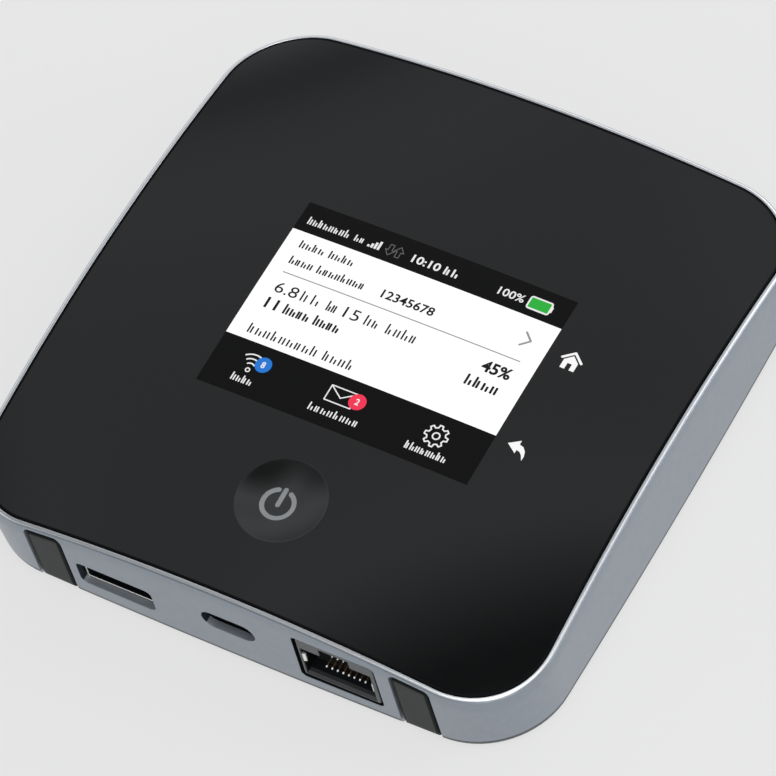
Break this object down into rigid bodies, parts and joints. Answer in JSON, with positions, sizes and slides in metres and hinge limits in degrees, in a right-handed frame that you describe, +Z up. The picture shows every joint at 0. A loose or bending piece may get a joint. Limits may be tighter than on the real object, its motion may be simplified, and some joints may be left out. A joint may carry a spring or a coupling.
{
  "type": "mobile hotspot",
  "caption": "Square battery-powered mobile router with a domed glossy touch-screen top, satin metallic band, front data ports, hinged antenna covers and clip-on rear cover.",
  "frame": {"origin": "on the flat underside of the rear cover, under the middle of the square body", "axes": "+Z up out of the domed screen, -Y out of the edge with the ports, +X to the right as seen from the port edge"},
  "size_m": [0.1054, 0.1054, 0.0203],
  "materials": {
    "band_metal": "satin silver-grey band with a bright polished chamfer along the rim",
    "gloss_black": "piano-black moulding, seamless with the display",
    "display_face": "clear hard-coated window over the display, lit picture behind it",
    "rear_plastic": "fine-textured dark grey moulding",
    "chassis_plastic": "matte black moulding",
    "lcd_glass": "dark display glass",
    "steel": "stamped stainless steel",
    "flex_film": "amber flexible circuit film",
    "board_green": "green solder-masked circuit board",
    "port_plastic": "black glass-filled connector plastic",
    "clear_plastic": "frosted light guide",
    "tin": "dull tin-plated shield",
    "graphite": "graphite-coated heat spreader",
    "gold": "gold-plated contact metal",
    "battery_wrap": "matte wrapped battery pack",
    "flap_rubber": "matte dark grey moulded rubber"
  },
  "bodies": {
    "housing": {"side_frame": "band_metal", "top_cover": "gloss_black", "display_lens": "display_face", "mid_chassis": "chassis_plastic", "lcd_panel": "lcd_glass", "lcd_bracket": "steel", "display_flex": "flex_film", "button_board": "board_green", "button_switch": "steel", "light_guide": "clear_plastic", "main_pcb": "board_green", "io_pcb": "board_green", "io_flex": "flex_film", "processor_can": "tin", "power_can": "tin", "radio_can": "tin", "modem_module": "tin", "heat_spreader": "graphite", "rj45_shield": "tin", "rj45_insert": "port_plastic", "rj45_contacts": "gold", "usb_a_shell": "steel", "usb_a_tongue": "port_plastic", "usb_c_shell": "steel", "usb_c_tongue": "port_plastic", "sim_socket": "steel", "microsd_socket": "steel", "battery_contacts": "gold", "antenna_socket_left": "steel", "antenna_socket_right": "steel", "antenna_flex_left": "flex_film", "antenna_flex_right": "flex_film", "chassis_screw_1": "steel", "chassis_screw_2": "steel", "chassis_screw_3": "steel", "chassis_screw_4": "steel"},
    "power_button": {"power_button": "gloss_black", "switch_plunger": "port_plastic"},
    "port_cover_left": {"port_cover_left": "flap_rubber"},
    "port_cover_right": {"port_cover_right": "flap_rubber"},
    "rear_cover": {"rear_cover": "rear_plastic"},
    "battery": {"battery": "battery_wrap"}
  },
  "joints": [
    {"name": "power_button_press", "type": "slide", "parent": "housing", "child": "power_button", "axis": [0, 0, -1], "range_m": [0, 0.0004], "stiffness_N_per_m": 600, "springref_m": -0.0005},
    {"name": "port_cover_left_hinge", "type": "hinge", "parent": "housing", "child": "port_cover_left", "pos_m": [-0.03395, -0.0517, 0.0014], "axis": [1, 0, 0], "range_deg": [0, 90], "stiffness_Nm_per_rad": 0.0005, "springref_deg": -8.59},
    {"name": "port_cover_right_hinge", "type": "hinge", "parent": "housing", "child": "port_cover_right", "pos_m": [0.03395, -0.0517, 0.0014], "axis": [1, 0, 0], "range_deg": [0, 90], "stiffness_Nm_per_rad": 0.0005, "springref_deg": -8.59},
    {"name": "rear_cover_lift", "type": "slide", "parent": "housing", "child": "rear_cover", "axis": [0, 0, -1], "range_m": [0, 0.03]},
    {"name": "battery_lift", "type": "slide", "parent": "housing", "child": "battery", "axis": [0, 0, -1], "range_m": [0, 0.015]}
  ],
  "couplings": [
    {"joint": "battery_lift", "follows": "rear_cover_lift", "ratio": 0.5}
  ]
}
